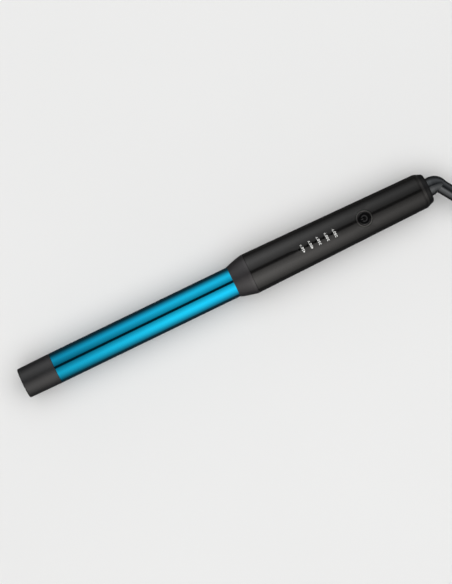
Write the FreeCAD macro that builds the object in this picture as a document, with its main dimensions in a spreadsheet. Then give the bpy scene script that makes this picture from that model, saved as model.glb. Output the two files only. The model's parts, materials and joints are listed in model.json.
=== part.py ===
import FreeCAD, Part
import math
import os
import Sketcher

# A curling wand with a round titanium-coated barrel, a cool tip, a tapered handle and a swivel cord.
# The wand lies along X with its tip towards -X and its button towards +Z. The surface it lies on is z = 0.

os.makedirs("parts", exist_ok=True)
doc = FreeCAD.newDocument("CurlingWand")
Vector = FreeCAD.Vector

# ---------------------------------------------------------------- driving dimensions, in millimetres

DRIVING = {
    # outside of the wand, from the tip to the cord
    "cap_length": 28.0, "cap_front_radius": 12.35, "cap_wall": 1.8, "cap_edge": 1.0,
    "barrel_length": 156.0, "barrel_radius": 12.7, "neck_radius": 12.3,
    "nose_length": 13.0, "nose_front_radius": 13.0, "nose_bulge": 110.0,
    "band_length": 2.0, "band_front_radius": 16.45, "handle_length": 148.75,
    "handle_front_radius": 16.65, "handle_rear_radius": 14.25, "handle_wall": 2.2,
    "shoulder_length": 6.95, "shoulder_end_radius": 11.5, "shoulder_corner": 3.4,
    "end_corner": 2.4,
    "seam": 0.22, "seam_deep": 0.45, "shell_angle": 179.3,
    # gaps: between pieces that touch, that slide or slip together, and that stay clear
    "contact_gap": 0.05, "fit": 0.08, "lip_gap": 0.1, "play": 0.2, "open_gap": 0.3,
    # inside the barrel
    "spigot_length": 6.0, "spigot_radius": 11.3, "spigot_wall": 1.5, "bore_radius": 11.4,
    "barrel_chamfer": 0.25, "cap_boss_radius": 3.6, "cap_boss_depth": 14.0,
    "bracket_thick": 0.8, "bracket_depth": 3.2, "tip_screw_long": 11.0, "tip_screw_point": 1.4,
    "tip_screw_rim": 0.9, "tip_screw_face": 1.2, "shield_thick": 1.5, "shield_at": 12.0,
    "shield_hole": 2.0,
    "heater_at": 16.0, "heater_length": 120.0, "heater_radius": 11.25, "heater_upper_flat": 0.7,
    "heater_lower_flat": -1.9, "sensor_height": 6.4, "fuse_height": -6.6, "sensor_hole": 1.5,
    "fuse_hole": 2.4, "core_channel": 2.2, "core_channel_y": 6.0, "core_channel_z": 5.0,
    "plate_long": 100.0, "plate_wide": 14.0, "plate_thick": 1.25,
    "spring_thick": 0.35, "spring_rise": 1.1, "spring_wide": 8.0, "spring_inset": 8.0,
    "fuse_radius": 2.0, "fuse_long": 11.5, "fuse_nose_radius": 1.6, "fuse_nose_long": 0.8,
    "fuse_edge": 0.5, "bead_radius": 0.95, "bead_long": 4.2, "bead_edge": 0.5,
    # leads: where each pair lies across the barrel, and where it ends under the board
    "heater_lead_radius": 0.6, "heater_lead_y": 5.4, "heater_lead_hole": 0.9,
    "heater_lead_end": 50.5, "heater_lead_apart": 5.6,
    "fuse_lead_radius": 0.6, "fuse_lead_y": 0.8, "fuse_lead_hole": 0.7,
    "fuse_lead_end": 49.5, "fuse_lead_apart": 2.8,
    "sensor_lead_radius": 0.3, "sensor_lead_y": 0.6, "sensor_lead_hole": 0.45,
    "sensor_lead_end": 48.0, "sensor_lead_apart": 0.6,
    "lead_straight": 2.0, "lead_foot": 6.0, "lead_bend": 4.0, "end_bush_long": 5.0,
    # where the barrel is held in the handle
    "collar_spigot": 8.0, "collar_spigot_radius": 14.1, "clamp_long": 4.6, "clamp_radius": 14.0,
    "set_screw_radius": 1.2,
    # controls in the handle
    "button_x": 120.6, "button_radius": 5.1, "bezel_inner": 5.3, "bezel_outer": 6.62,
    "bezel_hole": 6.88, "bezel_proud": 0.45, "bezel_edge": 0.6, "button_top": 14.5,
    "button_edge": 0.55, "button_base": 9.4, "flange_radius": 6.1, "flange_thick": 0.8,
    "bezel_base": 10.9, "bezel_blank": 7.0, "stem_radius": 1.5, "ring_edges_above": 13.0,
    "led_first_x": 64.0, "led_pitch": 7.0, "led_count": 5.0, "pin_radius": 0.7, "pin_hole": 0.78,
    "pin_base": 6.0, "pin_blank": 12.0, "guide_base": 7.4, "guide_thick": 1.1, "guide_wide": 3.0,
    "guide_ends": 2.0, "lamp_long": 1.6, "lamp_wide": 1.0, "lamp_tall": 0.7,
    # circuit board and what is on it
    "board_top": 5.0, "board_thick": 1.2, "board_start": 44.0, "board_end": 150.0,
    "board_wide": 20.0, "boss_front_x": 55.0, "boss_rear_x": 137.0, "boss_radius": 2.5,
    "board_corner": 2.0, "solder_gap": 0.02,
    "boss_meet": 1.0, "boss_clear": 2.9, "post_x": 104.0, "post_y": 6.6, "post_radius": 1.7,
    "post_root": 12.3, "pilot_radius": 0.9, "pilot_end": 10.0, "post_screw_clear": 1.1,
    "screw_shank": 1.25, "screw_head": 2.4, "screw_head_height": 1.7,
    "screw_sink": -8.6, "screw_tip": 8.0, "screw_well": 3.8, "well_depth": 2.2,
    "recess_half_wide": 0.3, "recess_share": 0.6, "recess_deep": 0.7,
    "board_screw_tip": 9.4, "board_screw_head": 1.9, "board_screw_head_height": 1.2,
    "inside_wall": 8.0, "outside_wall": 18.0,
    "switch_side": 6.0, "switch_height": 3.4, "switch_edge": 0.5, "switch_well": 1.7,
    "plunger_radius": 1.6, "plunger_height": 0.9, "plunger_seat": 2.4,
    "triac_x": 62.0, "triac_long": 10.0, "triac_wide": 10.0, "triac_tall": 4.4, "tab_beyond": 1.8,
    "tab_thick": 1.2, "leg_pitch": 2.54, "leg_long": 4.0, "leg_wide": 0.7, "leg_thick": 0.5,
    "leg_drop": 2.0, "film_x": 106.0, "film_long": 13.0, "film_wide": 6.0, "film_tall": 10.5,
    "can_x": 80.0, "can_y": 4.6, "can_long": 12.0, "can_radius": 4.0, "can_rim": 3.4,
    "can_rim_long": 0.5, "glass_x": 80.0, "glass_y": -4.6, "glass_long": 8.0,
    "glass_radius": 1.7, "glass_cap": 1.95, "glass_cap_long": 1.2,
    "resistor_x": 122.0, "resistor_y": 5.0, "resistor_long": 8.0, "resistor_radius": 1.8,
    "resistor_lead": 0.45, "resistor_lead_long": 2.0,
    "chip_x": 93.5, "chip_y": -1.05, "chip_long": 8.5, "chip_wide": 3.9, "chip_tall": 1.4,
    "chip_pitch": 1.2, "chip_pins": 7.0, "chip_pin_wide": 0.4, "chip_pin_long": 1.0,
    "chip_pin_thick": 0.25,
    # rear end and swivel
    "trim_gap": 0.8, "trim_length": 2.2, "rear_spigot_radius": 11.6, "rear_spigot_wall": 1.6,
    "rear_spigot_long": 9.0, "socket_long": 11.25, "ridge_back": 4.4, "ridge_depth": 0.5,
    "ridge_wide": 1.2, "rear_floor": 2.6, "swivel_bore": 5.6,
    "swivel_radius": 4.5, "bush_flange": 7.4, "bush_flange_thick": 1.2, "stop_radius": 6.6,
    "stop_thick": 1.4, "shaft_beyond": 1.6, "holder_back": 15.4, "ring_inset": 1.6,
    "ring_seat_radius": 3.6, "ring_radius": 4.6, "ring_wide": 2.6, "ring_pitch": 4.4,
    "wire_hole": 2.2, "holder_inner": 7.2, "holder_outer": 9.9, "holder_long": 12.4,
    "leaf_thick": 0.3, "leaf_wide": 1.8, "leaf_inset": 0.6, "leaf_slot": 0.04,
    "clip_thick": 0.8, "clip_radius": 5.6, "input_wire_radius": 0.8, "input_wire_y": 8.6,
    "input_wire_end_y": 6.2, "input_wire_bend": 3.0, "input_wire_foot": 4.0,
    # cord set
    "boot_gap": 0.3, "boot_flange": 2.7, "boot_groove_wide": 1.4, "boot_groove_deep": 0.8,
    "boot_radius": 7.4, "boot_bend_radius": 8.0, "boot_turn": 58.0,
    "boot_after_radius": 5.65, "boot_straight": 14.4, "boot_straight_radius": 5.3,
    "boot_tail": 17.5, "boot_tail_turn": 25.0, "boot_tail_dip": 12.0, "boot_tip_radius": 4.5,
    "cord_radius": 3.25, "hank_x": 319.5, "hank_y": -14.25, "loop_offset": 38.0,
    "loop_inner": 19.5, "layers": 4.0,
    "waist_half": 6.4, "waist_width": 14.2, "waist_lift": 1.1, "waist_lap": 0.5, "arm_half": 9.0,
    "arm_meets": 64.7, "entry_back": 19.5,
    "tie_thick": 1.0, "tie_wide": 12.0, "tie_slack": 0.4, "tie_corner": 0.6, "tail_start": -10.0,
    "plug_rear": 14.0, "plug_neck": 10.0, "plug_flare": 8.0, "plug_long": 26.0, "plug_wide": 24.0,
    "plug_thick": 13.0, "plug_round": 0.55,
    "blade_long": 17.0, "blade_thick": 1.5, "blade_spacing": 12.7, "blade_wide_neutral": 7.9,
    "blade_wide_line": 6.3, "blade_hole_back": 4.5, "blade_hole": 1.6,
}

sheet = doc.addObject("Spreadsheet::Sheet", "Sizes")
for row, (alias, value) in enumerate(DRIVING.items(), start=1):
    sheet.set(f"A{row}", alias)
    sheet.set(f"B{row}", str(value))
    sheet.setAlias(f"B{row}", alias)
doc.recompute()


def read(alias):
    """A driving dimension as the sheet holds it."""
    return float(sheet.get(alias))


class Size:
    """A length: its value now, and the rule that binds it to the sheet."""

    def __init__(self, value, rule):
        self.value = value
        self.rule = rule

    def __add__(self, other):
        other = as_size(other)
        return Size(self.value + other.value, f"({self.rule} + {other.rule})")

    def __sub__(self, other):
        other = as_size(other)
        return Size(self.value - other.value, f"({self.rule} - {other.rule})")

    def __mul__(self, other):
        other = as_size(other)
        return Size(self.value * other.value, f"({self.rule} * {other.rule})")

    def __truediv__(self, other):
        other = as_size(other)
        return Size(self.value / other.value, f"({self.rule} / {other.rule})")

    def __neg__(self):
        return Size(-self.value, f"(-1 * {self.rule})")

    __radd__ = __add__
    __rmul__ = __mul__

    def __rsub__(self, other):
        return as_size(other) - self


def as_size(number):
    return number if isinstance(number, Size) else Size(float(number), repr(float(number)))


def size(alias):
    return Size(read(alias), f"Sizes.{alias}")


# ---------------------------------------------------------------- stations along the wand

WAND_LENGTH = size("cap_length") + size("barrel_length") + size("nose_length") + size("band_length") \
    + size("handle_length") + size("shoulder_length")
TIP = -(WAND_LENGTH / 2)
BARREL_START = TIP + size("cap_length")
BARREL_END = BARREL_START + size("barrel_length")
NOSE_END = BARREL_END + size("nose_length")
HANDLE_START = NOSE_END + size("band_length")
HANDLE_END = HANDLE_START + size("handle_length")
REAR = HANDLE_END + size("shoulder_length")
AXIS_HEIGHT = size("handle_front_radius")

COLLAR_REAR = HANDLE_START + size("collar_spigot")
CLAMP_START = COLLAR_REAR + size("open_gap")
NECK_END = CLAMP_START + size("clamp_long") + size("play")
TRIM_START = HANDLE_END + size("trim_gap")
TRIM_END = TRIM_START + size("trim_length")
REAR_FLOOR = REAR - size("rear_floor")
RIDGE_START = TRIM_START - size("ridge_back")
HOLDER_START = TRIM_START - size("holder_back")
BOOT_START = REAR + size("boot_gap")
BOARD_BOTTOM = size("board_top") - size("board_thick")


def handle_radius(x):
    """The handle's outer radius at a station on its taper."""
    taper = (size("handle_front_radius") - size("handle_rear_radius")) / size("handle_length")
    return size("handle_front_radius") - (x - HANDLE_START) * taper


def shoulder_radius(x):
    """The outer radius on the sloping shoulder behind the taper."""
    slope = (size("handle_rear_radius") - size("shoulder_end_radius")) / size("shoulder_length")
    return size("handle_rear_radius") - (x - HANDLE_END) * slope


# ---------------------------------------------------------------- sketches and features

def part_body(label):
    body = doc.addObject("PartDesign::Body", label)
    body.Label = label
    body.setExpression("Placement.Base.z", AXIS_HEIGHT.rule)
    return body


def on_floor(body):
    """Takes a body out of the wand's axis frame: its sketches are in the part's own frame."""
    body.setExpression("Placement.Base.z", None)
    body.Placement = FreeCAD.Placement()
    return body


def origin_item(body, role):
    return next(item for item in body.Origin.OriginFeatures if item.Role == role)


def sketch_on(body, role, offset=0):
    sketch = body.newObject("Sketcher::SketchObject", body.Label + "_sketch")
    sketch.AttachmentSupport = (origin_item(body, role), [""])
    sketch.MapMode = "FlatFace"
    offset = as_size(offset)
    sketch.AttachmentOffset = FreeCAD.Placement(Vector(0, 0, offset.value), FreeCAD.Rotation())
    sketch.setExpression(".AttachmentOffset.Base.z", offset.rule)
    return sketch


def bind(sketch, constraint, length):
    index = sketch.addConstraint(constraint)
    sketch.setExpression(f"Constraints[{index}]", length.rule)


def fix_point(sketch, geometry, end, point):
    """Holds a sketch point at a place measured from the sketch's origin."""
    for kind, along in zip(("DistanceX", "DistanceY"), point):
        bind(sketch, Sketcher.Constraint(kind, -1, 1, geometry, end, along.value), along)


def arc_between(start, end, radius):
    """The shorter arc between two points; a positive radius bulges to the left of the way it runs."""
    middle = (start + end) * 0.5
    chord = end - start
    left = Vector(-chord.y, chord.x, 0).normalize()
    sag = abs(radius) - math.sqrt(radius ** 2 - (chord.Length / 2) ** 2)
    return Part.Arc(start, middle + left * math.copysign(sag, radius), end)


def outline(sketch, points, arcs=None):
    """A closed outline of straight sides, with an arc of the given radius on some of them."""
    arcs = arcs or {}
    points = [(as_size(x), as_size(y)) for x, y in points]
    places = [Vector(x.value, y.value, 0) for x, y in points]
    first = sketch.GeometryCount
    starts = []
    for side, place in enumerate(places):
        after = places[(side + 1) % len(places)]
        if side in arcs:
            index = sketch.addGeometry(arc_between(place, after, as_size(arcs[side]).value))
        else:
            index = sketch.addGeometry(Part.LineSegment(place, after))
        forward = sketch.getPoint(index, 1).distanceToPoint(place) < 1e-6
        starts.append(1 if forward else 2)
    for side in range(len(places)):
        after = (side + 1) % len(places)
        sketch.addConstraint(Sketcher.Constraint(
            "Coincident", first + side, 3 - starts[side], first + after, starts[after]))
        fix_point(sketch, first + side, starts[side], points[side])
        if side in arcs:
            radius = as_size(arcs[side])
            radius = radius if radius.value > 0 else -radius
            bind(sketch, Sketcher.Constraint("Radius", first + side, radius.value), radius)


def block(sketch, x_low, y_low, x_high, y_high):
    outline(sketch, [(x_low, y_low), (x_high, y_low), (x_high, y_high), (x_low, y_high)])


def disc(sketch, x, y, radius):
    x, y, radius = as_size(x), as_size(y), as_size(radius)
    index = sketch.addGeometry(Part.Circle(Vector(x.value, y.value, 0), Vector(0, 0, 1), radius.value))
    fix_point(sketch, index, 3, (x, y))
    bind(sketch, Sketcher.Constraint("Radius", index, radius.value), radius)


def feature(body, kind, sketch):
    made = body.newObject("PartDesign::" + kind, body.Label + "_" + kind.lower())
    made.Profile = sketch
    return made


def revolve(body, points, arcs=None, role="XY_Plane", angle=360, kind="Revolution"):
    """Turns an outline of (station, radius) points about the wand's axis."""
    sketch = sketch_on(body, role)
    outline(sketch, points, arcs)
    made = feature(body, kind, sketch)
    made.ReferenceAxis = (sketch, ["H_Axis"])
    made.Angle = as_size(angle).value
    if isinstance(angle, Size):
        made.setExpression("Angle", angle.rule)
    made.Midplane = made.Angle < 360
    return made


def pad(body, sketch, length, back=False):
    made = feature(body, "Pad", sketch)
    made.Length = as_size(length).value
    made.setExpression("Length", as_size(length).rule)
    made.Reversed = back
    return made


def pocket(body, sketch, length=None, forward=True, both_ways=False):
    """Cuts along the sketch's normal, or through everything both ways."""
    made = feature(body, "Pocket", sketch)
    if both_ways:
        made.SideType = "Symmetric"
        made.Type = "ThroughAll"
    elif length is None:
        made.Type = "ThroughAll"
    else:
        made.Length = as_size(length).value
        made.setExpression("Length", as_size(length).rule)
    made.Reversed = forward
    return made


def turned(label, points, arcs=None):
    body = part_body(label)
    revolve(body, points, arcs)
    return body


def tube(label, x_low, x_high, inner, outer):
    return turned(label, [(x_low, inner), (x_high, inner), (x_high, outer), (x_low, outer)])


def pattern_about_axis(body, original, count):
    doc.recompute()
    made = body.newObject("PartDesign::PolarPattern", body.Label + "_pattern")
    made.Originals = [original]
    made.Axis = (origin_item(body, "X_Axis"), [""])
    made.Angle = 360
    made.Occurrences = count
    body.Tip = made
    return made


def pattern_in_row(body, original, pitch, count):
    doc.recompute()
    made = body.newObject("PartDesign::LinearPattern", body.Label + "_row")
    made.Originals = [original]
    made.Direction = (origin_item(body, "X_Axis"), [""])
    made.Mode = "Spacing"
    made.Offset = as_size(pitch).value
    made.setExpression("Offset", as_size(pitch).rule)
    made.Occurrences = int(as_size(count).value)
    body.Tip = made
    return made


def edges_at(shape, test):
    return [f"Edge{n}" for n, edge in enumerate(shape.Edges, start=1) if test(edge)]


def round_edges(body, radius, test, kind="Fillet"):
    """Rounds or chamfers the edges of the body's last feature that pass the test."""
    doc.recompute()
    last = body.Tip
    made = body.newObject("PartDesign::" + kind, body.Label + "_" + kind.lower())
    made.Base = (last, edges_at(last.Shape, test))
    setting = "Radius" if kind == "Fillet" else "Size"
    setattr(made, setting, as_size(radius).value)
    made.setExpression(setting, as_size(radius).rule)
    return made


def ring_edge(x, radius):
    """A test for the round edge at a station and radius."""
    def test(edge):
        curve = edge.Curve
        return isinstance(curve, Part.Circle) and abs(curve.Radius - as_size(radius).value) < 1e-3 \
            and abs(curve.Center.x - as_size(x).value) < 1e-3
    return test


def upright_edge(length):
    """A test for the straight edges that run this far up or down."""
    def test(edge):
        return isinstance(edge.Curve, Part.Line) and \
            abs(edge.BoundBox.ZLength - as_size(length).value) < 1e-6
    return test


# ---------------------------------------------------------------- barrel and tip

def make_barrel_tube():
    body = turned("barrel_tube", [
        (BARREL_START, size("bore_radius")), (NECK_END, size("bore_radius")),
        (NECK_END, size("neck_radius")), (BARREL_END, size("neck_radius")),
        (BARREL_END, size("barrel_radius")), (BARREL_START, size("barrel_radius"))])
    round_edges(body, size("barrel_chamfer"), ring_edge(BARREL_START, size("barrel_radius")),
                "Chamfer")


def make_tip_cap():
    spigot_end = BARREL_START + size("spigot_length")
    boss_start = TIP + size("cap_boss_depth")
    floor = TIP + size("cap_wall")
    inside = size("spigot_radius") - size("spigot_wall")
    body = turned("tip_cap", [
        (TIP, 0), (TIP, size("cap_front_radius")), (BARREL_START, size("barrel_radius")),
        (BARREL_START, size("spigot_radius")), (spigot_end, size("spigot_radius")),
        (spigot_end, inside), (floor, inside), (floor, size("cap_boss_radius")),
        (spigot_end, size("cap_boss_radius")), (spigot_end, size("screw_shank")),
        (boss_start, size("screw_shank")), (boss_start, 0)])
    round_edges(body, size("cap_edge"), ring_edge(TIP, size("cap_front_radius")))


def make_tip_bracket():
    start = BARREL_START + size("spigot_length") + size("contact_gap")
    rim = size("bore_radius") - size("fit")
    hole = size("screw_shank") + size("play")
    turned("tip_bracket", [
        (start, hole), (start, rim), (start + size("bracket_depth"), rim),
        (start + size("bracket_depth"), rim - size("bracket_thick")),
        (start + size("bracket_thick"), rim - size("bracket_thick")),
        (start + size("bracket_thick"), hole)])


def make_tip_screw():
    head = BARREL_START + size("spigot_length") + size("bracket_thick") + size("contact_gap") * 2
    tip = head - size("tip_screw_long")
    face = head + size("screw_head_height")
    shank = size("screw_shank") - size("fit")
    body = turned("tip_screw", [
        (tip, 0), (tip + size("tip_screw_point"), shank), (head, shank),
        (head, size("screw_head")), (head + size("tip_screw_rim"), size("screw_head")),
        (face, size("tip_screw_face")), (face, 0)])
    cross_slot(body, face)


def cross_slot(body, face_x):
    """A cross recess in a screw head whose face is at a station on the axis, facing +X."""
    sketch = sketch_on(body, "YZ_Plane", face_x)
    arm = size("screw_head") * size("recess_share")
    half = size("recess_half_wide")
    outline(sketch, [
        (-arm, -half), (-half, -half), (-half, -arm), (half, -arm), (half, -half), (arm, -half),
        (arm, half), (half, half), (half, arm), (-half, arm), (-half, half), (-arm, half)])
    pocket(body, sketch, size("recess_deep"), forward=False)


def make_tip_heat_shield():
    start = BARREL_START + size("shield_at")
    tube("tip_heat_shield", start, start + size("shield_thick"), size("shield_hole"),
         size("bore_radius") - size("play"))


# ---------------------------------------------------------------- heater

def heater_x(along):
    return BARREL_START + size("heater_at") + along


def make_heater_core(label, flat, side, hole_height, hole_radius):
    """Half of the aluminium core: a long D section with a hole for the sensor or fuse."""
    body = part_body(label)
    sketch = sketch_on(body, "YZ_Plane", heater_x(0))
    radius = size("heater_radius")
    half_chord = math.sqrt(radius.value ** 2 - flat.value ** 2)
    chord = Size(half_chord, f"sqrt({radius.rule}^2 - {flat.rule}^2)")
    outline(sketch, [(-chord, flat), (chord, flat), (0, radius * side)],
            {1: radius * -side, 2: radius * -side})
    disc(sketch, 0, hole_height, hole_radius)
    for across in (-size("core_channel_y"), size("core_channel_y")):
        disc(sketch, across, size("core_channel_z") * side, size("core_channel"))
    pad(body, sketch, size("heater_length"))


def make_heater():
    make_heater_core("heater_core_upper", size("heater_upper_flat"), 1,
                     size("sensor_height"), size("sensor_hole"))
    make_heater_core("heater_core_lower", size("heater_lower_flat"), -1,
                     size("fuse_height"), size("fuse_hole"))
    plate = part_body("ceramic_heater_plate")
    plate_start = heater_x((size("heater_length") - size("plate_long")) / 2)
    sketch = sketch_on(plate, "YZ_Plane", plate_start)
    half = size("plate_wide") / 2
    top = size("heater_upper_flat") - size("contact_gap")
    block(sketch, -half, top - size("plate_thick"), half, top)
    pad(plate, sketch, size("plate_long"))


def make_heater_spring():
    """A bowed leaf under the plate that presses the two core halves apart."""
    body = part_body("heater_spring")
    sketch = sketch_on(body, "XZ_Plane", -size("spring_wide") / 2)
    low = size("heater_lower_flat") + size("contact_gap")
    thick = size("spring_thick")
    middle = heater_x(size("heater_length") / 2)
    half = size("plate_long") / 2 - size("spring_inset")
    rise = size("spring_rise") - thick
    bow_value = (half.value ** 2 + rise.value ** 2) / (2 * rise.value)
    bow = Size(bow_value, f"(({half.rule})^2 + ({rise.rule})^2) / (2 * {rise.rule})")
    outline(sketch, [
        (middle - half, low), (middle, low + rise), (middle + half, low),
        (middle + half, low + thick), (middle, low + rise + thick), (middle - half, low + thick)],
        {0: bow, 1: bow, 3: -bow, 4: -bow})
    pad(body, sketch, size("spring_wide"))


def make_thermal_fuse():
    start = heater_x(size("heater_length") / 2)
    end = start + size("fuse_long")
    body = part_body("thermal_fuse")
    sketch = sketch_on(body, "YZ_Plane", start)
    disc(sketch, 0, size("fuse_height"), size("fuse_radius"))
    pad(body, sketch, size("fuse_long"))
    round_edges(body, size("fuse_edge"), ring_edge(start, size("fuse_radius")))
    nose = sketch_on(body, "YZ_Plane", end)
    disc(nose, 0, size("fuse_height"), size("fuse_nose_radius"))
    pad(body, nose, size("fuse_nose_long"))


def make_thermistor():
    start = heater_x(size("heater_length") / 2)
    body = part_body("thermistor")
    sketch = sketch_on(body, "YZ_Plane", start)
    disc(sketch, 0, size("sensor_height"), size("bead_radius"))
    pad(body, sketch, size("bead_long"))
    for x in (start, start + size("bead_long")):
        round_edges(body, size("bead_edge"), ring_edge(x, size("bead_radius")))


# ---------------------------------------------------------------- wires and cord

def routed_path(points, bends=None):
    """Straight runs joined by tangent arcs, each as large as its two runs allow."""
    edges, radii = [], []
    start = points[0]
    for index in range(1, len(points) - 1):
        before, corner, after = points[index - 1:index + 2]
        back = (before - corner).normalize()
        ahead = (after - corner).normalize()
        turn = math.pi - back.getAngle(ahead)
        shorter = min((before - corner).Length, (after - corner).Length)
        radius = 0.45 * shorter / math.tan(turn / 2)
        if bends:
            radius = min(radius, bends)
        reach = radius * math.tan(turn / 2)
        enter, leave = corner + back * reach, corner + ahead * reach
        inward = (back + ahead).normalize()
        middle = corner + inward * (radius / math.cos(turn / 2) - radius)
        edges += [Part.LineSegment(start, enter).toShape(), Part.Arc(enter, middle, leave).toShape()]
        radii.append(radius)
        start = leave
    edges.append(Part.LineSegment(start, points[-1]).toShape())
    return Part.Wire(edges), radii


def swept(points, radius, bends=None):
    """A round wire or cord along a route, and the radii of its bends."""
    path, radii = routed_path(points, bends)
    section = Part.Wire(Part.makeCircle(radius, points[0], points[1] - points[0]))
    solid = path.makePipeShell([section], True, False)
    expected = math.pi * radius ** 2 * path.Length
    if abs(solid.Volume - expected) > 0.01 * expected:
        raise ValueError(f"a swept tube holds {solid.Volume:.1f} mm3, and should hold {expected:.1f}")
    return solid, radii, path.Length


def plain_feature(label, shape, height=AXIS_HEIGHT.value):
    made = doc.addObject("Part::Feature", label)
    made.Label = label
    made.Shape = shape
    made.Placement = FreeCAD.Placement(Vector(0, 0, height), FreeCAD.Rotation())
    return made


def lead_pair(name, start_x, height):
    """Two leads that run back through the barrel's end bush and bend to the board's underside."""
    radius, across = read(name + "_lead_radius"), read(name + "_lead_y")
    end_x, apart = read(name + "_lead_end"), read(name + "_lead_apart")
    board = BOARD_BOTTOM.value - radius - read("contact_gap")
    bush = NECK_END.value + read("lead_straight")
    solids = []
    for side in (-1, 1):
        points = [Vector(start_x.value, side * across, height), Vector(bush, side * across, height),
                  Vector(end_x - read("lead_foot"), side * apart, board),
                  Vector(end_x, side * apart, board)]
        solids.append(swept(points, radius, bends=read("lead_bend"))[0])
    plain_feature(name + "_leads", Part.makeCompound(solids))


def make_leads():
    plate_end = heater_x((size("heater_length") + size("plate_long")) / 2)
    middle = heater_x(size("heater_length") / 2) + size("contact_gap")
    lead_pair("heater", plate_end + size("contact_gap"), 0)
    lead_pair("fuse", middle + size("fuse_long") + size("fuse_nose_long"), read("fuse_height"))
    lead_pair("sensor", middle + size("bead_long"), read("sensor_height"))


# ---------------------------------------------------------------- joint between barrel and handle

def make_barrel_end_bush():
    """The ceramic plug in the barrel's open end, with a hole for each lead."""
    start = NECK_END - size("end_bush_long")
    body = part_body("barrel_end_bush")
    sketch = sketch_on(body, "YZ_Plane", start)
    disc(sketch, 0, 0, size("bore_radius") - size("fit"))
    for name, height in (("heater", 0), ("sensor", size("sensor_height")),
                         ("fuse", size("fuse_height"))):
        for side in (-1, 1):
            disc(sketch, size(name + "_lead_y") * side, height, size(name + "_lead_hole"))
    pad(body, sketch, size("end_bush_long"))


def make_collar():
    """The heat-resistant nose cone, the flatter band that meets the handle, and a spigot inside it."""
    bore = size("neck_radius") + size("fit")
    seam, lip = HANDLE_START - size("seam"), HANDLE_START - size("lip_gap")
    lip_radius = size("handle_front_radius") - size("seam_deep")
    turned("collar", [
        (BARREL_END, bore), (BARREL_END, size("nose_front_radius")),
        (NOSE_END, size("band_front_radius")), (seam, size("handle_front_radius")),
        (seam, lip_radius), (lip, lip_radius), (lip, size("collar_spigot_radius")),
        (COLLAR_REAR, size("collar_spigot_radius")), (COLLAR_REAR, bore)],
        {1: size("nose_bulge")})


def make_barrel_clamp():
    """The steel ring that grips the barrel's neck behind the collar, and its set screws."""
    end = CLAMP_START + size("clamp_long")
    middle = CLAMP_START + size("clamp_long") / 2
    inner = size("neck_radius") + size("contact_gap")
    ring = tube("barrel_clamp_ring", CLAMP_START, end, inner, size("clamp_radius"))
    sketch = sketch_on(ring, "XY_Plane")
    disc(sketch, middle, 0, size("set_screw_radius"))
    pattern_about_axis(ring, pocket(ring, sketch, size("clamp_radius") + 1), 3)
    screws = part_body("clamp_screws")
    sketch = sketch_on(screws, "XY_Plane", inner)
    disc(sketch, middle, 0, size("set_screw_radius") - size("contact_gap"))
    pattern_about_axis(screws, pad(screws, sketch, size("clamp_radius") - inner - size("lip_gap")), 3)


# ---------------------------------------------------------------- handle shells

def shell_points(side):
    """Section of a handle shell: the taper outside, and a ridge inside that holds the rear cap."""
    wall = size("handle_wall")
    ridge_end = RIDGE_START + size("ridge_wide")
    inside = size("rear_spigot_radius") + size("fit")
    low = inside - size("ridge_depth")
    step = HANDLE_END - size("socket_long")
    points = [
        (HANDLE_START, size("handle_front_radius")), (HANDLE_END, size("handle_rear_radius")),
        (TRIM_START, shoulder_radius(TRIM_START)), (TRIM_START, inside), (ridge_end, inside),
        (ridge_end, low), (RIDGE_START, low), (RIDGE_START, inside), (step, inside),
        (step - 1, handle_radius(step) - wall), (HANDLE_START, size("handle_front_radius") - wall)]
    return [(x, radius * side) for x, radius in points]


def make_shell(label, side):
    body = part_body(label)
    revolve(body, shell_points(side), role="XZ_Plane", angle=size("shell_angle"))
    round_edges(body, size("shoulder_corner"), ring_edge(HANDLE_END, size("handle_rear_radius")))
    round_edges(body, size("seam"), ring_edge(HANDLE_START, size("handle_front_radius")))
    return body


def add_pillars(body, places, radius, z_low, z_high):
    sketch = sketch_on(body, "XY_Plane", z_low)
    for x, y in places:
        disc(sketch, x, y, radius)
    pad(body, sketch, z_high - z_low)


def cut_holes(body, places, radius, z_low, z_high):
    sketch = sketch_on(body, "XY_Plane", z_low)
    for x, y in places:
        disc(sketch, x, y, radius)
    return pocket(body, sketch, z_high - z_low)


BOSSES = [(size("boss_front_x"), 0), (size("boss_rear_x"), 0)]
POSTS = [(size("post_x"), -size("post_y")), (size("post_x"), size("post_y"))]


def make_handle():
    upper = make_shell("handle_upper_shell", 1)
    into_wall = size("handle_wall") / 2
    for boss in BOSSES:
        add_pillars(upper, [boss], size("boss_radius"), size("boss_meet") + size("contact_gap"),
                    handle_radius(boss[0]) - into_wall)
    inside, outside = size("inside_wall"), size("outside_wall")
    add_pillars(upper, POSTS, size("post_radius"), size("board_top") + size("contact_gap"),
                size("post_root"))
    cut_holes(upper, BOSSES, size("screw_shank"), size("boss_meet"), size("screw_tip") + size("open_gap"))
    cut_holes(upper, POSTS, size("pilot_radius"), size("board_top"), size("pilot_end"))
    cut_holes(upper, [(size("button_x"), 0)], size("bezel_hole"), inside, outside)
    pins = cut_holes(upper, [(size("led_first_x"), 0)], size("pin_hole"), inside, outside)
    pattern_in_row(upper, pins, size("led_pitch"), size("led_count"))
    lower = make_shell("handle_lower_shell", -1)
    for boss in BOSSES:
        add_pillars(lower, [boss], size("screw_well"), into_wall - handle_radius(boss[0]),
                    size("screw_sink") + size("well_depth"))
    add_pillars(lower, BOSSES, size("boss_radius"), size("screw_sink"), size("boss_meet"))
    cut_holes(lower, BOSSES, size("screw_shank") + size("play"), -outside, size("boss_meet") + 1)
    cut_holes(lower, BOSSES, size("screw_head") + size("play"), -outside, size("screw_sink"))


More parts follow.
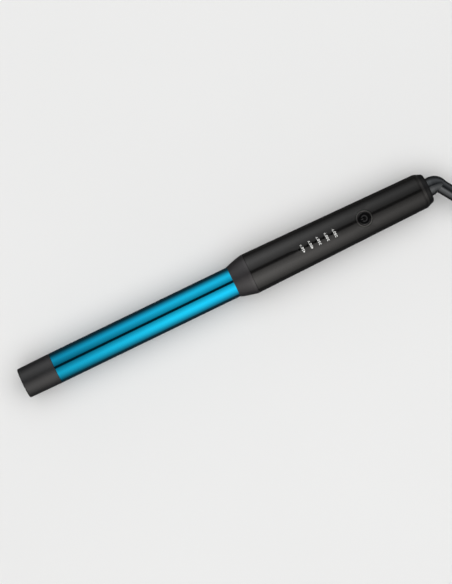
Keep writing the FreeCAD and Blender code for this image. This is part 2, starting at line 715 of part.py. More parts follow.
def make_screws(label, places, head_z, tip_z, shank, head, head_height):
    """Cross-head screws that point up, one for each place."""
    body = part_body(label)
    sketch = sketch_on(body, "XY_Plane", head_z - head_height)
    for x, y in places:
        disc(sketch, x, y, head)
    pad(body, sketch, head_height)
    shanks = sketch_on(body, "XY_Plane", head_z)
    for x, y in places:
        disc(shanks, x, y, shank)
    pad(body, shanks, tip_z - head_z)
    arm, half = head * size("recess_share"), size("recess_half_wide")
    for half_x, half_y in ((arm, half), (half, arm)):
        slots = sketch_on(body, "XY_Plane", head_z - head_height)
        for x, y in places:
            block(slots, x - half_x, y - half_y, x + half_x, y + half_y)
        pocket(body, slots, size("recess_deep"))


def make_fasteners():
    make_screws("handle_screws", BOSSES, size("screw_sink") - size("contact_gap"), size("screw_tip"),
                size("screw_shank") - size("fit"), size("screw_head"), size("screw_head_height"))
    make_screws("board_screws", POSTS, BOARD_BOTTOM - size("contact_gap"), size("board_screw_tip"),
                size("pilot_radius") - size("fit"), size("board_screw_head"),
                size("board_screw_head_height"))


# ---------------------------------------------------------------- button, switch and lights

def trim_to_handle(body, x_low, x_high, proud):
    """Cuts a piece's top to the handle's own curve, a little proud of it."""
    beyond = size("handle_front_radius") * 1.3
    revolve(body, [
        (x_low, handle_radius(x_low) + proud), (x_high, handle_radius(x_high) + proud),
        (x_high, beyond), (x_low, beyond)], role="XZ_Plane", angle=150, kind="Groove")


def top_ring_edge(edge):
    """A test for the long edges round the top of a button or its ring."""
    return edge.BoundBox.ZMin > read("ring_edges_above") and edge.Length > read("ring_edges_above")


def make_button():
    x = size("button_x")
    reach = size("bezel_outer") + 1
    bezel = part_body("button_bezel")
    sketch = sketch_on(bezel, "XY_Plane", size("bezel_base"))
    disc(sketch, x, 0, size("bezel_outer"))
    disc(sketch, x, 0, size("bezel_inner"))
    pad(bezel, sketch, size("bezel_blank"))
    trim_to_handle(bezel, x - reach, x + reach, size("bezel_proud"))
    round_edges(bezel, size("bezel_edge"), top_ring_edge)
    switch_top = size("board_top") + size("switch_height") + size("plunger_height")
    flange_top = size("button_base") + size("flange_thick")
    button = part_body("power_button")
    add_pillars(button, [(x, 0)], size("stem_radius"), switch_top, size("button_base"))
    add_pillars(button, [(x, 0)], size("flange_radius"), size("button_base"), flange_top)
    add_pillars(button, [(x, 0)], size("button_radius"), flange_top, size("button_top"))
    round_edges(button, size("button_edge"), top_ring_edge)
    plunger = part_body("switch_plunger")
    add_pillars(plunger, [(x, 0)], size("plunger_radius"),
                size("board_top") + size("plunger_seat"), switch_top)


def make_tact_switch():
    body = part_body("tact_switch")
    x, half = size("button_x"), size("switch_side") / 2
    top = size("board_top") + size("switch_height")
    sketch = sketch_on(body, "XY_Plane", size("board_top"))
    block(sketch, x - half, -half, x + half, half)
    pad(body, sketch, size("switch_height"))
    round_edges(body, size("switch_edge"), upright_edge(size("switch_height")))
    cut_holes(body, [(x, 0)], size("plunger_radius") + size("lip_gap"),
              size("board_top") + size("switch_well"), top)


def make_lights():
    """The five lamps' light guide, whose pins end in the handle's surface, and the lamps under it."""
    x, pitch, count = size("led_first_x"), size("led_pitch"), size("led_count")
    last = x + pitch * (count - 1)
    guide = part_body("light_guide")
    base = sketch_on(guide, "XY_Plane", size("guide_base"))
    half, ends = size("guide_wide") / 2, size("guide_ends")
    block(base, x - ends, -half, last + ends, half)
    pad(guide, base, size("guide_thick"))
    sketch = sketch_on(guide, "XY_Plane", size("pin_base"))
    disc(sketch, x, 0, size("pin_radius"))
    pattern_in_row(guide, pad(guide, sketch, size("pin_blank")), pitch, count)
    trim_to_handle(guide, x - ends, last + ends, -size("contact_gap"))
    lamps = part_body("status_lamps")
    sketch = sketch_on(lamps, "XY_Plane", size("board_top"))
    half_long, half_wide = size("lamp_long") / 2, size("lamp_wide") / 2
    block(sketch, x - half_long, -half_wide, x + half_long, half_wide)
    pattern_in_row(lamps, pad(lamps, sketch, size("lamp_tall")), pitch, count)


# ---------------------------------------------------------------- circuit board

def make_control_board():
    body = part_body("control_board")
    half = size("board_wide") / 2
    sketch = sketch_on(body, "XY_Plane", BOARD_BOTTOM)
    block(sketch, size("board_start"), -half, size("board_end"), half)
    for x, y in BOSSES:
        disc(sketch, x, y, size("boss_clear"))
    for x, y in POSTS:
        disc(sketch, x, y, size("post_screw_clear"))
    pad(body, sketch, size("board_thick"))
    round_edges(body, size("board_corner"), upright_edge(size("board_thick")))


UNDER_BOARD = BOARD_BOTTOM - size("solder_gap")


def boxed(label, name, y=0):
    """A square-edged component that hangs under the board, with its upright edges rounded."""
    body = part_body(label)
    x, half = size(name + "_x"), size(name + "_wide") / 2
    sketch = sketch_on(body, "XY_Plane", UNDER_BOARD)
    block(sketch, x, y - half, x + size(name + "_long"), y + half)
    pad(body, sketch, size(name + "_tall"), back=True)
    round_edges(body, half / 8, upright_edge(size(name + "_tall")))
    return body


def lying_cylinder(label, name, end_radius, end_long):
    """A cylindrical component that lies under the board along X, with a cap or a lead at each end."""
    body = part_body(label)
    x, y, radius = size(name + "_x"), size(name + "_y"), size(name + "_radius")
    long = size(name + "_long")
    widest = radius if radius.value > end_radius.value else end_radius
    height = UNDER_BOARD - widest - size("fit")
    sketch = sketch_on(body, "YZ_Plane", x)
    disc(sketch, y, height, radius)
    pad(body, sketch, long)
    for start in (x - end_long, x + long):
        end = sketch_on(body, "YZ_Plane", start)
        disc(end, y, height, end_radius)
        pad(body, end, end_long)


def make_triac():
    """The power switch: its body, the metal tab beyond it and its three legs."""
    body = boxed("triac", "triac")
    half, end = size("triac_wide") / 2, size("triac_x") + size("triac_long")
    tab = sketch_on(body, "XY_Plane", UNDER_BOARD - size("triac_tall"))
    block(tab, size("triac_x") - size("tab_beyond"), -half, end, half)
    pad(body, tab, size("tab_thick"))
    legs = sketch_on(body, "XY_Plane", UNDER_BOARD - size("leg_drop"))
    half_leg = size("leg_wide") / 2
    for y in (-size("leg_pitch"), as_size(0), size("leg_pitch")):
        block(legs, end - size("play"), y - half_leg, end + size("leg_long"), y + half_leg)
    pad(body, legs, size("leg_thick"))


def make_chip():
    """The controller, with a row of pins down each side."""
    body = boxed("microcontroller", "chip", size("chip_y"))
    half, half_pin = size("chip_wide") / 2, size("chip_pin_wide") / 2
    rows = (size("chip_pins") - 1) * size("chip_pitch")
    first = size("chip_x") + (size("chip_long") - rows) / 2
    pins = sketch_on(body, "XY_Plane", UNDER_BOARD)
    for index in range(int(read("chip_pins"))):
        at = first + size("chip_pitch") * index
        for side in (-1, 1):
            edges = [size("chip_y") + (half - size("lip_gap")) * side,
                     size("chip_y") + (half + size("chip_pin_long")) * side]
            block(pins, at - half_pin, edges[0], at + half_pin, edges[1])
    pad(body, pins, size("chip_pin_thick"), back=True)


def make_components():
    make_triac()
    make_chip()
    boxed("film_capacitor", "film")
    lying_cylinder("electrolytic_capacitor", "can", size("can_rim"), size("can_rim_long"))
    lying_cylinder("board_fuse", "glass", size("glass_cap"), size("glass_cap_long"))
    lying_cylinder("dropper_resistor", "resistor", size("resistor_lead"), size("resistor_lead_long"))


# ---------------------------------------------------------------- rear end and swivel

RING_START = HOLDER_START + size("ring_inset")
RINGS = [RING_START, RING_START + size("ring_pitch")]


def make_rear_end():
    slope_end = shoulder_radius(TRIM_END)
    tube_inner = size("rear_spigot_radius") + size("fit")
    turned("rear_trim_ring", [
        (TRIM_START + size("lip_gap"), tube_inner),
        (TRIM_START + size("lip_gap"), shoulder_radius(TRIM_START)),
        (TRIM_END - size("lip_gap") / 2, slope_end), (TRIM_END - size("lip_gap") / 2, tube_inner)])
    spigot_start = TRIM_END - size("rear_spigot_long")
    groove_start = RIDGE_START - size("play")
    groove_end = RIDGE_START + size("ridge_wide") + size("play")
    spigot, wall = size("rear_spigot_radius"), size("rear_spigot_wall")
    low = spigot - size("ridge_depth")
    body = turned("rear_cap", [
        (spigot_start, spigot - wall), (spigot_start, spigot), (groove_start, spigot),
        (groove_start, low), (groove_end, low), (groove_end, spigot), (TRIM_END, spigot),
        (TRIM_END, slope_end), (REAR, size("shoulder_end_radius")), (REAR, size("swivel_bore")),
        (REAR_FLOOR, size("swivel_bore")), (REAR_FLOOR, spigot - wall)])
    round_edges(body, size("end_corner"), ring_edge(REAR, size("shoulder_end_radius")))
    inner, outer = size("swivel_radius") + size("contact_gap"), size("swivel_bore") - size("contact_gap")
    flange_end = REAR_FLOOR - size("contact_gap")
    flange_start = flange_end - size("bush_flange_thick")
    turned("swivel_bush", [
        (flange_start, inner), (flange_start, size("bush_flange")), (flange_end, size("bush_flange")),
        (flange_end, outer), (REAR, outer), (REAR, inner)])


def make_contacts():
    """The insulating holder fixed in the handle, and the leaf springs that press on the slip rings."""
    outer = size("holder_outer")
    holder = tube("contact_holder", HOLDER_START, HOLDER_START + size("holder_long"),
                  size("holder_inner"), outer)
    low = size("ring_radius") + size("contact_gap")
    slots = sketch_on(holder, "XZ_Plane")
    leaf_outlines(slots, low, size("leaf_slot"))
    pocket(holder, slots, both_ways=True)
    springs = part_body("contact_springs")
    reach = math.sqrt(outer.value ** 2 - low.value ** 2) - read("leaf_inset")
    leaves = sketch_on(springs, "XZ_Plane", -reach)
    leaf_outlines(leaves, low, as_size(0))
    pad(springs, leaves, 2 * reach)


def leaf_outlines(sketch, low, grow):
    """Each leaf's section: one above the first slip ring, and one below the second."""
    half = size("leaf_wide") / 2 + grow
    near, far = low - grow, low + size("leaf_thick") + grow
    for start, (z_low, z_high) in zip(RINGS, ((near, far), (-far, -near))):
        middle = start + size("ring_wide") / 2
        block(sketch, middle - half, z_low, middle + half, z_high)


def make_input_wires():
    """Two wires from the contact holder to the board's rear edge."""
    radius, foot = read("input_wire_radius"), read("input_wire_foot")
    start_y, end_y = read("input_wire_y"), read("input_wire_end_y")
    board = BOARD_BOTTOM.value - radius - read("contact_gap")
    start_x = HOLDER_START.value - read("lip_gap")
    foot_x = read("board_end") - read("open_gap")
    solids = []
    for side in (-1, 1):
        points = [Vector(start_x, side * start_y, 0), Vector(start_x - foot, side * start_y, 0),
                  Vector(foot_x, side * end_y, board), Vector(foot_x - foot, side * end_y, board)]
        solids.append(swept(points, radius, bends=read("input_wire_bend"))[0])
    plain_feature("input_wires", Part.makeCompound(solids))


def make_swivel():
    """The cord's own side of the swivel: its shaft, slip rings and retaining clip."""
    seat, shaft = size("ring_seat_radius"), size("swivel_radius")
    stop_end = REAR_FLOOR - size("bush_flange_thick") - size("contact_gap") * 3
    stop_start = stop_end - size("stop_thick")
    shaft_start = HOLDER_START - size("shaft_beyond")
    seat_end = RINGS[1] + size("ring_wide") + size("lip_gap")
    turned("swivel_shaft", [
        (shaft_start, size("wire_hole")), (shaft_start, seat), (seat_end, seat), (seat_end, shaft),
        (stop_start, shaft), (stop_start, size("stop_radius")), (stop_end, size("stop_radius")),
        (stop_end, shaft), (REAR, shaft), (REAR, size("wire_hole"))])
    rings = part_body("slip_rings")
    for start in RINGS:
        end = start + size("ring_wide")
        revolve(rings, [(start, seat + size("solder_gap")), (end, seat + size("solder_gap")),
                        (end, size("ring_radius")), (start, size("ring_radius"))])
    clip_start = shaft_start + size("open_gap")
    tube("swivel_clip", clip_start, clip_start + size("clip_thick"), seat + size("solder_gap"),
         size("clip_radius"))


# ---------------------------------------------------------------- cord set

def heading(azimuth, dip):
    """A direction turned from +X towards -Y by azimuth, and down by dip, in degrees."""
    around, down = math.radians(azimuth), math.radians(dip)
    return Vector(math.cos(down) * math.cos(around), -math.cos(down) * math.sin(around),
                  -math.sin(down))


def boot_stations():
    """Centre, heading and radius along the boot: round the elbow, straight, then a drooping tail."""
    turn, bend = read("boot_turn"), read("boot_bend_radius")
    first, second = read("boot_radius"), read("boot_after_radius")
    third, last = read("boot_straight_radius"), read("boot_tip_radius")
    corner = Vector(BOOT_START.value + read("boot_flange"), -bend, AXIS_HEIGHT.value)
    elbow_steps, tail_steps = 6, 5
    elbow = []
    for step in range(elbow_steps + 1):
        share = step / elbow_steps
        along = heading(turn * share, 0)
        outward = Vector(-along.y, along.x, 0)
        elbow.append((corner + outward * bend, along, first + (second - first) * share ** 2))
    place = elbow[-1][0] + elbow[-1][1] * read("boot_straight")
    tail = [(place, elbow[-1][1], third)]
    for step in range(tail_steps):
        middle, share = (step + 0.5) / tail_steps, (step + 1) / tail_steps
        place = place + heading(turn - read("boot_tail_turn") * middle,
                                read("boot_tail_dip") * middle) * (read("boot_tail") / tail_steps)
        along = heading(turn - read("boot_tail_turn") * share, read("boot_tail_dip") * share)
        tail.append((place, along, third + (last - third) * share))
    return elbow, tail


BOOT_ELBOW, BOOT_TAIL = boot_stations()
BOOT_END, BOOT_HEADING = BOOT_TAIL[-1][:2]


def make_boot():
    """The moulded elbow that the cord leaves by: round sections lofted along its centreline."""
    shape = Part.makeCylinder(read("boot_radius"), read("boot_flange"),
                              Vector(BOOT_START.value, 0, AXIS_HEIGHT.value), Vector(1, 0, 0))
    neck = Part.makeCylinder(read("swivel_radius"), read("boot_gap"),
                             Vector(REAR.value, 0, AXIS_HEIGHT.value), Vector(1, 0, 0))
    shape = shape.fuse(neck)
    for stations in (BOOT_ELBOW, [BOOT_ELBOW[-1], BOOT_TAIL[0]], BOOT_TAIL):
        sections = [Part.Wire(Part.makeCircle(radius, place, along))
                    for place, along, radius in stations]
        shape = shape.fuse(Part.makeLoft(sections, True, len(sections) == 2))
    width, depth = read("boot_groove_wide"), read("boot_groove_deep")
    for place, along, radius in BOOT_TAIL[:-1]:
        ring = Part.makeCylinder(radius + 1, width, place, along)
        shape = shape.cut(ring.cut(Part.makeCylinder(radius - depth, width, place, along)))
    plain_feature("strain_relief_boot", shape.removeSplitter(), 0)


# The cord's free stretch, from the boot down to the surface and along it to the hank.
CORD_ROUTE = [
    BOOT_END,
    BOOT_END + BOOT_HEADING * 12,
    Vector(226.5, -38.7, 7.8),
    Vector(237.8, -40.25, 4.1),
    Vector(249.8, -40.25, 3.25),
    Vector(262.0, -40.25, 3.25),
]


def make_cord_tube():
    radius = read("cord_radius")
    solid, radii, length = swept(CORD_ROUTE, radius)
    print("cord tube arc radii, mm:", [round(value, 1) for value in radii])
    print(f"cord tube length {length:.1f} mm, volume {solid.Volume:.1f} mm3,",
          f"section x length {math.pi * radius ** 2 * length:.1f} mm3")
    print("boot end, mm:", BOOT_END, "heading", BOOT_HEADING)
    plain_feature("power_cord_tube", solid, 0)


CORD = size("cord_radius") * 2
LOOP_OUTER = size("loop_inner") + CORD
LOOP_EDGE = LOOP_OUTER + size("cord_radius")
HANK_TOP = CORD * size("layers")


def make_hank():
    """The outer shape of the folded cord: two loops, the tied waist between them, and both ends."""
    body = on_floor(part_body("power_cord_hank"))
    x, y, offset = size("hank_x"), size("hank_y"), size("loop_offset")
    meets = math.radians(read("arm_meets"))
    side_x, side_y = LOOP_EDGE * math.cos(meets), LOOP_EDGE * math.sin(meets)
    loops = sketch_on(body, "XY_Plane")
    for side in (-1, 1):
        disc(loops, x + offset * side, y, LOOP_EDGE)
        disc(loops, x + offset * side, y, size("loop_inner") - size("cord_radius"))
    pad(body, loops, HANK_TOP)
    for side in (-1, 1):
        arm = sketch_on(body, "XY_Plane")
        start = x + size("waist_half") * side
        corner = x + (offset - side_x) * side
        near = x + (offset - size("loop_inner")) * side
        outline(arm, [
            (start, y - size("waist_width")), (corner, y - side_y), (near, y - size("arm_half")),
            (near, y + size("arm_half")), (corner, y + side_y), (start, y + size("waist_width"))])
        pad(body, arm, HANK_TOP)
    waist = sketch_on(body, "XY_Plane", size("waist_lift"))
    half_waist = size("waist_half") + size("waist_lap")
    block(waist, x - half_waist, y - size("waist_width"), x + half_waist, y + size("waist_width"))
    pad(body, waist, HANK_TOP - size("waist_lift"))
    entry = sketch_on(body, "XY_Plane")
    entry_x = x - offset - size("entry_back")
    block(entry, entry_x, y - LOOP_EDGE, x - offset, y - size("loop_inner"))
    pad(body, entry, CORD)
    tail = sketch_on(body, "XY_Plane", HANK_TOP - 1)
    block(tail, x + size("tail_start"), y - size("cord_radius"),
          x + size("plug_rear"), y + size("cord_radius"))
    pad(body, tail, CORD + 1)


def make_tie():
    """The strap round the hank's waist, over the cord's tail that lies on top."""
    body = on_floor(part_body("cord_tie"))
    thick = size("tie_thick")
    side, tail = size("waist_width") + size("contact_gap"), size("cord_radius") + size("tie_slack")
    base, top = thick + size("contact_gap"), HANK_TOP + size("contact_gap")
    crown = top + CORD
    y = size("hank_y")
    sketch = sketch_on(body, "YZ_Plane", size("hank_x") - size("tie_wide") / 2)
    for grow in (as_size(0), thick):
        corner = grow * size("tie_corner")
        outline(sketch, [
            (y - side - grow, base - grow), (y + side + grow, base - grow),
            (y + side + grow, top + corner), (y + tail + corner, crown + grow),
            (y - tail - corner, crown + grow), (y - side - grow, top + corner)])
    pad(body, sketch, size("tie_wide"))


def make_plug():
    """A polarised two-blade mains plug that lies on the hank with its blades towards +X."""
    body = on_floor(part_body("plug_body"))
    height = HANK_TOP + size("plug_thick") / 2
    y = size("hank_y")
    rear = size("hank_x") + size("plug_rear")
    neck = rear + size("plug_neck")
    face = neck + size("plug_long")
    # each station's place, and its share of the full thickness and width
    stations = [(rear, 0.5, 0.36), (neck, 0.6, 0.44), (neck + size("plug_flare"), 1.0, 1.0),
                (face, 1.0, 1.0)]
    sections = []
    for x, thick_share, wide_share in stations:
        sketch = sketch_on(body, "YZ_Plane", x)
        half_wide = size("plug_wide") * wide_share / 2
        half_thick = size("plug_thick") * thick_share / 2
        corner = half_thick * size("plug_round")
        low, high = height - half_thick, height + half_thick
        left, right = y - half_wide, y + half_wide
        outline(sketch, [
            (left + corner, low), (right - corner, low), (right, low + corner), (right, high - corner),
            (right - corner, high), (left + corner, high), (left, high - corner), (left, low + corner)],
            {1: -corner, 3: -corner, 5: -corner, 7: -corner})
        sections.append(sketch)
    for before, after in zip(sections, sections[1:]):
        loft = feature(body, "AdditiveLoft", before)
        loft.Sections = [after]
        loft.Ruled = True
    blades = on_floor(part_body("plug_blades"))
    sketch = sketch_on(blades, "YZ_Plane", face)
    half_gap, half_thick = size("blade_spacing") / 2, size("blade_thick") / 2
    for side, wide in ((-1, size("blade_wide_neutral")), (1, size("blade_wide_line"))):
        middle = y + half_gap * side
        block(sketch, middle - half_thick, height - wide / 2, middle + half_thick, height + wide / 2)
    pad(blades, sketch, size("blade_long"))
    holes = sketch_on(blades, "XZ_Plane")
    disc(holes, face + size("blade_long") - size("blade_hole_back"), height, size("blade_hole"))
    pocket(blades, holes, both_ways=True)


# ---------------------------------------------------------------- build, check and write

for make in (make_barrel_tube, make_tip_cap, make_tip_bracket, make_tip_screw, make_tip_heat_shield,
             make_heater, make_heater_spring, make_thermal_fuse, make_thermistor, make_leads,
             make_barrel_end_bush, make_collar, make_barrel_clamp, make_handle, make_fasteners,
             make_button, make_tact_switch, make_lights, make_control_board, make_components,
             make_rear_end, make_contacts, make_input_wires, make_swivel, make_boot,
             make_cord_tube, make_hank, make_tie, make_plug):
    make()
doc.recompute()

faults = [f"{item.Label}: {item.State}" for item in doc.Objects
          if "Invalid" in item.State or "Error" in item.State]
loose = [item.Label for item in doc.Objects
         if item.TypeId == "Sketcher::SketchObject" and not item.FullyConstrained]
sub_parts = [item for item in doc.Objects
             if item.TypeId == "PartDesign::Body" or
             item.TypeId == "Part::Feature" and item.getParentGroup() is None]
for item in sub_parts:
    if item.Shape.isNull() or not item.Shape.isValid() or not item.Shape.Solids:
        faults.append(f"{item.Label}: its shape is null, empty or not valid")
for item in doc.Objects:
    if item.TypeId in ("PartDesign::Pocket", "PartDesign::Groove"):
        before = item.BaseFeature.Shape.Volume
        if item.Shape.Volume > before - 1e-4:
            faults.append(f"{item.Label} removes nothing")
if faults or loose:
    raise ValueError("\n".join(faults + [f"{name} isn't fully constrained" for name in loose]))
for item in sub_parts:
    item.Shape.exportStep(f"parts/{item.Label}.step")
print(len(sub_parts), "sub-parts written")
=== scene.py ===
"""A curling wand on a pale floor: camera, cord, materials, printed marks and room round the fixed frame."""
import json
import math

import bmesh
import bpy
from mathutils import Matrix, Vector


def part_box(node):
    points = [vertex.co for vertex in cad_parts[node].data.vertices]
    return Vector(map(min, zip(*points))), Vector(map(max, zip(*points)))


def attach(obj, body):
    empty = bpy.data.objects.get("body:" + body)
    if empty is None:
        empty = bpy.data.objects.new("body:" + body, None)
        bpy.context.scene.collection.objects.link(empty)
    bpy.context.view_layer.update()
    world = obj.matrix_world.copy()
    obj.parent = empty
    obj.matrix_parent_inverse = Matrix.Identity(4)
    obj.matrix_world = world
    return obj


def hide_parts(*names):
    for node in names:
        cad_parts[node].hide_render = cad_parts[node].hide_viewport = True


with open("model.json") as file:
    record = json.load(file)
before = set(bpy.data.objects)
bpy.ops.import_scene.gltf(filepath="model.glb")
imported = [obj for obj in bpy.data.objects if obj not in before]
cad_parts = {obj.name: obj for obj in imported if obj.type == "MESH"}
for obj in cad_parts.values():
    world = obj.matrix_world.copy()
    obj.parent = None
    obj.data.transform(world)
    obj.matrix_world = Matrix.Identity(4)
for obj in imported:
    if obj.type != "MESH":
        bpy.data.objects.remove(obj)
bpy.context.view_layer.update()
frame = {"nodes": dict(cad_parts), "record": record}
nodes = frame["nodes"]
record = frame["record"]
MM = 0.001

# ---------------------------------------------------------------- places read from the frame

AXIS_Z = record["mounts"][0]["pos_m"][2]
HANDLE_LOW, HANDLE_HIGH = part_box("handle_upper_shell")
BUTTON_LOW, BUTTON_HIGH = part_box("power_button")
# The handle's radius where its taper starts and ends, and the X where it ends.
HANDLE_FRONT = HANDLE_HIGH.z - AXIS_Z
HANDLE_REAR = 14.25 * MM
HANDLE_TAPER_END = 170.4 * MM

# ---------------------------------------------------------------- camera

CAMERA_TURN = math.radians(-25.87)
CAMERA_HEIGHT = 2.4
CAMERA_REACH = 50.0
SENSOR = 36.0
# How tall the view is at the wand's axis, and where its middle is, from the wand's middle.
VIEW_TALL = 460.776 * MM
VIEW_RIGHT = 0.1 * MM
VIEW_UP = -5.1 * MM


def make_camera():
    """Straight down, turned about the vertical so that the wand lies from lower left to upper right."""
    data = bpy.data.cameras.new("camera")
    data.sensor_fit = "VERTICAL"
    data.sensor_height = SENSOR
    data.lens = SENSOR * CAMERA_HEIGHT / VIEW_TALL
    data.clip_end = CAMERA_REACH
    camera = bpy.data.objects.new("camera", data)
    right = Vector((math.cos(CAMERA_TURN), math.sin(CAMERA_TURN), 0))
    up = Vector((-right.y, right.x, 0))
    place = right * VIEW_RIGHT + up * VIEW_UP
    camera.location = (place.x, place.y, AXIS_Z + CAMERA_HEIGHT)
    camera.rotation_euler = (0, 0, CAMERA_TURN)
    bpy.context.scene.collection.objects.link(camera)
    bpy.context.scene.camera = camera


make_camera()

# ---------------------------------------------------------------- the cord

CORD_RADIUS = 3.25 * MM
CORD = 2 * CORD_RADIUS
CORD_EXIT = Vector((206.84, -28.28, 14.82)) * MM
BOOT_HEADING = Vector((0.8203, -0.5327, -0.2079))
BOOT_LEAD = 12.0 * MM
# The free stretch's points, as the CAD has them.
FREE_ROUTE = [
    CORD_EXIT,
    CORD_EXIT + BOOT_HEADING * BOOT_LEAD,
    Vector((226.5, -38.7, 7.8)) * MM,
    Vector((237.8, -40.25, 4.1)) * MM,
    Vector((249.8, -40.25, 3.25)) * MM,
    Vector((262.0, -40.25, 3.25)) * MM,
    Vector((272.0, -40.25, 3.25)) * MM,
]
HANK_CENTRE = Vector((319.5, -14.25, 0)) * MM
LOOP_OFFSET = 38.0 * MM
OUTER, INNER = 26.0 * MM, 19.5 * MM
# Each turn's layer and loop radius, from the floor up.
TURNS = [(0, OUTER), (0, INNER), (1, INNER), (1, OUTER), (2, OUTER), (2, INNER), (3, INNER)]
TOP_LAYER = 4
# Inside the tie: half its length, how far the outer and inner turns pass from its middle, and their hump.
WAIST_X = 8.0 * MM
WAIST_OUTER, WAIST_INNER = 9.75 * MM, 3.25 * MM
WAIST_LIFT = 1.1 * MM
# A loop's points reach this many degrees each side of its far end. The first loop starts at ENTRY_ANGLE.
LOOP_SWEEP = 125.0
LOOP_STEPS = 8
ENTRY_ANGLE = math.radians(-64.0)
# The share of a loop before it starts to change layer, and the share that the change takes.
CHANGE_START, CHANGE_SHARE = 0.2, 0.6
# The tail's last points, from the left loop to the plug's rear, from the hank's centre in millimetres.
TAIL_TO_PLUG = [(-25.0, -14.5), (-14.0, -4.5), (-5.0, 0.0), (14.5, 0.0)]


def layer_height(layer):
    return CORD_RADIUS + CORD * layer


def waist_y(radius):
    return WAIST_OUTER if radius == OUTER else WAIST_INNER


def waist_points(side, radius, height):
    """Two points through the tie, on the -Y side (side -1, going +X) or the +Y side (going -X)."""
    for along in (side * WAIST_X, -side * WAIST_X):
        yield HANK_CENTRE + Vector((along, side * waist_y(radius), height + WAIST_LIFT))


def loop_points(side, first, last):
    """Points round the right (side 1) or left (side -1) loop, from one (radius, height) to another."""
    for step in range(LOOP_STEPS + 1):
        share = step / LOOP_STEPS
        blend = min(max((share - CHANGE_START) / CHANGE_SHARE, 0), 1)
        radius = first[0] + (last[0] - first[0]) * blend
        height = first[1] + (last[1] - first[1]) * blend
        angle = math.radians(LOOP_SWEEP * (2 * share - 1))
        yield HANK_CENTRE + Vector((side * (LOOP_OFFSET + radius * math.cos(angle)),
                                    side * radius * math.sin(angle), height))


def hank_points():
    """The folded cord: bow-tie turns through the tie, then the tail over them to the plug."""
    yield Vector((HANK_CENTRE.x - LOOP_OFFSET, HANK_CENTRE.y - OUTER, layer_height(0)))
    yield HANK_CENTRE + Vector((-LOOP_OFFSET + OUTER * math.cos(ENTRY_ANGLE), OUTER * math.sin(ENTRY_ANGLE),
                                layer_height(0)))
    for number, (layer, radius) in enumerate(TURNS):
        height = layer_height(layer)
        here = (radius, height)
        last_turn = number + 1 == len(TURNS)
        after = here if last_turn else (TURNS[number + 1][1], layer_height(TURNS[number + 1][0]))
        yield from waist_points(-1, radius, height)
        yield from loop_points(1, here, here)
        yield from waist_points(1, radius, height)
        if not last_turn:
            yield from loop_points(-1, here, after)
    yield from tail_points()


def tail_points():
    """Round the left loop once more, up onto the turns, then along the middle to the plug."""
    below, above = (INNER, layer_height(TOP_LAYER - 1)), (INNER, layer_height(TOP_LAYER))
    yield from list(loop_points(-1, below, above))[:-1]
    for along, across in TAIL_TO_PLUG:
        yield HANK_CENTRE + Vector((along * MM, across * MM, layer_height(TOP_LAYER)))


def nurbs_cord(name, points, radius):
    """A round cord of one open NURBS spline, made this thick by each point's own radius."""
    data = bpy.data.curves.new(name, "CURVE")
    data.dimensions = "3D"
    data.bevel_depth = 1.0
    data.bevel_resolution = 6
    data.resolution_u = 8
    data.use_fill_caps = True
    spline = data.splines.new("NURBS")
    spline.points.add(len(points) - 1)
    for point, place in zip(spline.points, points):
        point.co = (*place, 1)
        point.radius = radius
    spline.order_u = 3
    spline.use_endpoint_u = True
    cord = bpy.data.objects.new(name, data)
    bpy.context.scene.collection.objects.link(cord)
    return cord


def make_cord():
    cord = nurbs_cord("power_cord", FREE_ROUTE + list(hank_points()), CORD_RADIUS)
    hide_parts("power_cord_tube", "power_cord_hank")
    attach(cord, "cord_set")
    return cord


power_cord = make_cord()

# ---------------------------------------------------------------- materials

# The Mix node's colour sockets, which share their labels with others.
MIX_SHARE, MIX_FIRST, MIX_SECOND, MIX_RESULT = 0, 6, 7, 2
BARREL_BLUE = (0.001, 0.226, 0.382)
BARREL_TEAL = (0.0015, 0.255, 0.392)


